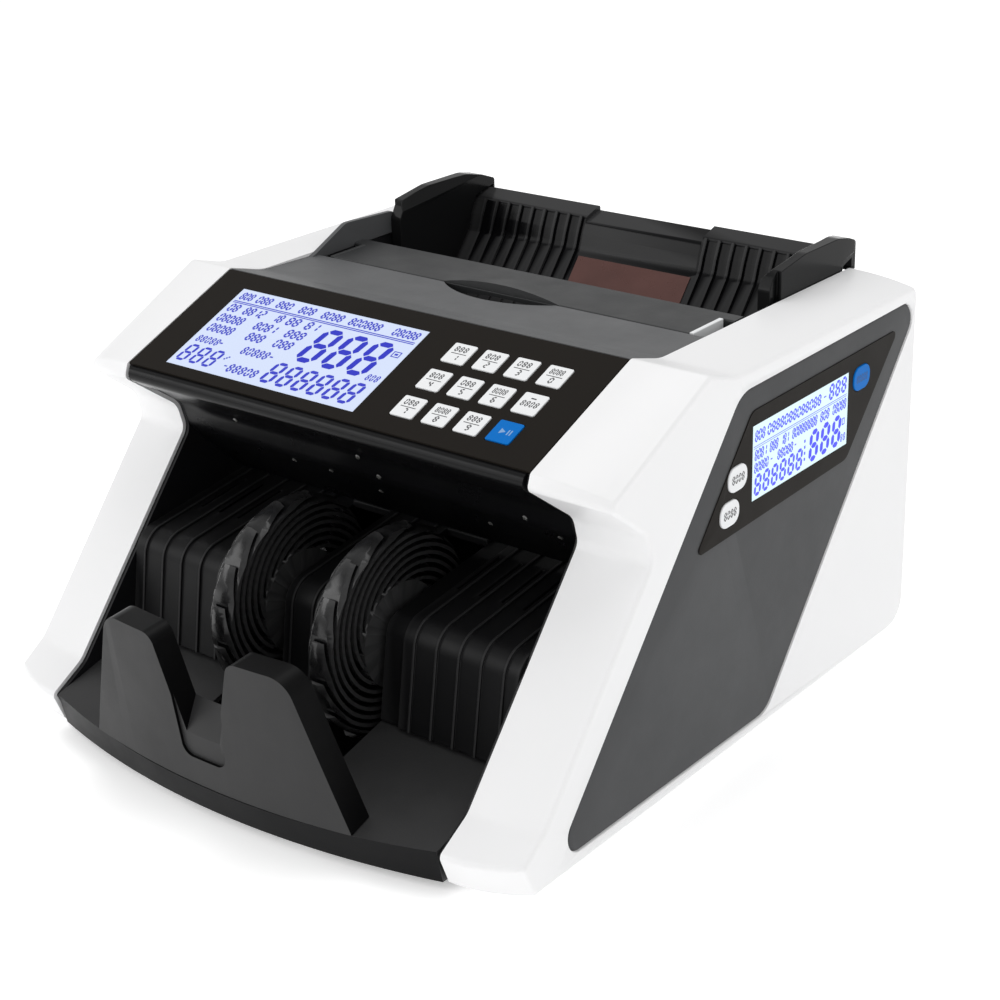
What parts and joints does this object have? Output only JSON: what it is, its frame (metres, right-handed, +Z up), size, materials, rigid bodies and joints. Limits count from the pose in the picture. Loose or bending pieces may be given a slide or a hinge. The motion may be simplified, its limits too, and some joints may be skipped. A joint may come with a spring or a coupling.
{
  "type": "banknote counter",
  "caption": "Desktop banknote counter: sloping control panel, open stacker pocket with finned impeller wheels and an M-shaped stopper in front, feed hopper with sliding guides behind.",
  "frame": {"origin": "on the table, at the middle of the machine's length and width", "axes": "+X to the operator's right, +Y towards the back, +Z up"},
  "size_m": [0.2728, 0.3108, 0.18],
  "materials": {
    "white_shell": "glossy white moulding",
    "frame_black": "fine matte texture",
    "tray_black": "satin",
    "gloss_black": "high gloss",
    "panel_film": "satin film",
    "top_grey": "fine matte texture",
    "lid_grey": "fine matte texture",
    "stopper_grey": "satin",
    "inlay_grey": "satin metallic",
    "display": "backlit display",
    "key_white": "satin",
    "key_blue": "satin",
    "copper": "brushed copper colour",
    "steel": "turned",
    "bearing": "sintered",
    "rubber": "matte",
    "board": "circuit board",
    "inlet": "matte"
  },
  "bodies": {
    "casing": {"bottom_pan": "frame_black", "case_screws": "steel", "drive_belts": "rubber", "drive_motors": "steel", "front_visor": "gloss_black", "hopper_bed": "lid_grey", "keypad_board": "board", "left_inlay": "inlay_grey", "left_side_cover": "white_shell", "left_side_frame": "frame_black", "lid_hinge_pin": "steel", "main_board": "board", "main_lcd": "display", "note_path_plate": "frame_black", "panel_housing": "gloss_black", "panel_overlay": "panel_film", "power_inlet": "inlet", "power_supply": "board", "rear_cover": "frame_black", "right_inlay": "inlay_grey", "right_side_cover": "white_shell", "right_side_frame": "frame_black", "rubber_feet": "rubber", "shaft_bearings": "bearing", "side_lcd": "display", "side_overlay": "panel_film", "stacker_hood": "frame_black", "stacker_tray": "tray_black", "top_cover": "top_grey", "wear_plate": "copper"},
    "lid": {"feed_lid": "lid_grey", "lid_end_strips": "key_white"},
    "left_guide": {"left_note_guide": "lid_grey"},
    "right_guide": {"right_note_guide": "lid_grey"},
    "stopper": {"note_stopper": "stopper_grey"},
    "drum": {"feed_shaft": "steel", "feed_rollers": "rubber"},
    "pickup": {"pickup_shaft": "steel", "pickup_rollers": "rubber"},
    "impeller": {"impeller_shaft": "steel", "impeller_wheel_left": "frame_black", "impeller_wheel_right": "frame_black"},
    "motor_rotor": {"main_motor_pulley": "steel"},
    "stacker_rotor": {"stacker_motor_pulley": "steel"},
    "rocker": {"rocker_switch": "inlet"},
    "key_1_1_body": {"key_1_1": "key_white"},
    "key_1_2_body": {"key_1_2": "key_white"},
    "key_1_3_body": {"key_1_3": "key_white"},
    "key_1_4_body": {"key_1_4": "key_white"},
    "key_2_1_body": {"key_2_1": "key_white"},
    "key_2_2_body": {"key_2_2": "key_white"},
    "key_2_3_body": {"key_2_3": "key_white"},
    "key_2_4_body": {"key_2_4": "key_white"},
    "key_3_1_body": {"key_3_1": "key_white"},
    "key_3_2_body": {"key_3_2": "key_white"},
    "key_3_3_body": {"key_3_3": "key_white"},
    "key_3_4_body": {"key_3_4": "key_blue"},
    "side_button_blue_body": {"side_button_blue": "key_blue"},
    "side_button_upper_body": {"side_button_upper": "key_white"},
    "side_button_lower_body": {"side_button_lower": "key_white"}
  },
  "joints": [
    {"name": "key_1_1_press", "type": "slide", "parent": "casing", "child": "key_1_1_body", "axis": [0, 0.3647, -0.9311], "range_m": [0, 0.0008], "stiffness_N_per_m": 1500},
    {"name": "key_1_2_press", "type": "slide", "parent": "casing", "child": "key_1_2_body", "axis": [0, 0.3647, -0.9311], "range_m": [0, 0.0008], "stiffness_N_per_m": 1500},
    {"name": "key_1_3_press", "type": "slide", "parent": "casing", "child": "key_1_3_body", "axis": [0, 0.3647, -0.9311], "range_m": [0, 0.0008], "stiffness_N_per_m": 1500},
    {"name": "key_1_4_press", "type": "slide", "parent": "casing", "child": "key_1_4_body", "axis": [0, 0.3647, -0.9311], "range_m": [0, 0.0008], "stiffness_N_per_m": 1500},
    {"name": "key_2_1_press", "type": "slide", "parent": "casing", "child": "key_2_1_body", "axis": [0, 0.3647, -0.9311], "range_m": [0, 0.0008], "stiffness_N_per_m": 1500},
    {"name": "key_2_2_press", "type": "slide", "parent": "casing", "child": "key_2_2_body", "axis": [0, 0.3647, -0.9311], "range_m": [0, 0.0008], "stiffness_N_per_m": 1500},
    {"name": "key_2_3_press", "type": "slide", "parent": "casing", "child": "key_2_3_body", "axis": [0, 0.3647, -0.9311], "range_m": [0, 0.0008], "stiffness_N_per_m": 1500},
    {"name": "key_2_4_press", "type": "slide", "parent": "casing", "child": "key_2_4_body", "axis": [0, 0.3647, -0.9311], "range_m": [0, 0.0008], "stiffness_N_per_m": 1500},
    {"name": "key_3_1_press", "type": "slide", "parent": "casing", "child": "key_3_1_body", "axis": [0, 0.3647, -0.9311], "range_m": [0, 0.0008], "stiffness_N_per_m": 1500},
    {"name": "key_3_2_press", "type": "slide", "parent": "casing", "child": "key_3_2_body", "axis": [0, 0.3647, -0.9311], "range_m": [0, 0.0008], "stiffness_N_per_m": 1500},
    {"name": "key_3_3_press", "type": "slide", "parent": "casing", "child": "key_3_3_body", "axis": [0, 0.3647, -0.9311], "range_m": [0, 0.0008], "stiffness_N_per_m": 1500},
    {"name": "key_3_4_press", "type": "slide", "parent": "casing", "child": "key_3_4_body", "axis": [0, 0.3647, -0.9311], "range_m": [0, 0.0008], "stiffness_N_per_m": 1500},
    {"name": "side_button_blue_press", "type": "slide", "parent": "casing", "child": "side_button_blue_body", "axis": [-1, 0, 0], "range_m": [0, 0.001], "stiffness_N_per_m": 1500},
    {"name": "side_button_upper_press", "type": "slide", "parent": "casing", "child": "side_button_upper_body", "axis": [-1, 0, 0], "range_m": [0, 0.001], "stiffness_N_per_m": 1500},
    {"name": "side_button_lower_press", "type": "slide", "parent": "casing", "child": "side_button_lower_body", "axis": [-1, 0, 0], "range_m": [0, 0.001], "stiffness_N_per_m": 1500},
    {"name": "lid_lift", "type": "hinge", "parent": "casing", "child": "lid", "pos_m": [0, 0.0625, 0.1588], "axis": [-1, 0, 0], "range_deg": [0, 70]},
    {"name": "left_guide_slide", "type": "slide", "parent": "casing", "child": "left_guide", "axis": [1, 0, 0], "range_m": [0, 0.035]},
    {"name": "right_guide_slide", "type": "slide", "parent": "casing", "child": "right_guide", "axis": [-1, 0, 0], "range_m": [0, 0.035]},
    {"name": "stopper_slide", "type": "slide", "parent": "casing", "child": "stopper", "axis": [0, 0.9724, 0.2334], "range_m": [0, 0.012]},
    {"name": "drum_spin", "type": "hinge", "parent": "casing", "child": "drum", "pos_m": [0, 0.057, 0.098], "axis": [-1, 0, 0], "continuous": true},
    {"name": "pickup_spin", "type": "hinge", "parent": "casing", "child": "pickup", "pos_m": [0, 0.121, 0.1166], "axis": [-1, 0, 0], "continuous": true},
    {"name": "motor_spin", "type": "hinge", "parent": "casing", "child": "motor_rotor", "pos_m": [-0.1, 0.105, 0.042], "axis": [-1, 0, 0], "continuous": true},
    {"name": "impeller_spin", "type": "hinge", "parent": "casing", "child": "impeller", "pos_m": [0, -0.072, 0.0585], "axis": [1, 0, 0], "continuous": true},
    {"name": "stacker_motor_spin", "type": "hinge", "parent": "casing", "child": "stacker_rotor", "pos_m": [-0.1, -0.003, 0.038], "axis": [1, 0, 0], "continuous": true},
    {"name": "rocker_tip", "type": "hinge", "parent": "casing", "child": "rocker", "pos_m": [0.035, 0.1466, 0.034], "axis": [-1, 0, 0], "range_deg": [0, 16]}
  ],
  "couplings": [
    {"joint": "pickup_spin", "follows": "drum_spin", "ratio": 2},
    {"joint": "motor_spin", "follows": "drum_spin", "ratio": 2},
    {"joint": "stacker_motor_spin", "follows": "impeller_spin", "ratio": 1.25}
  ]
}
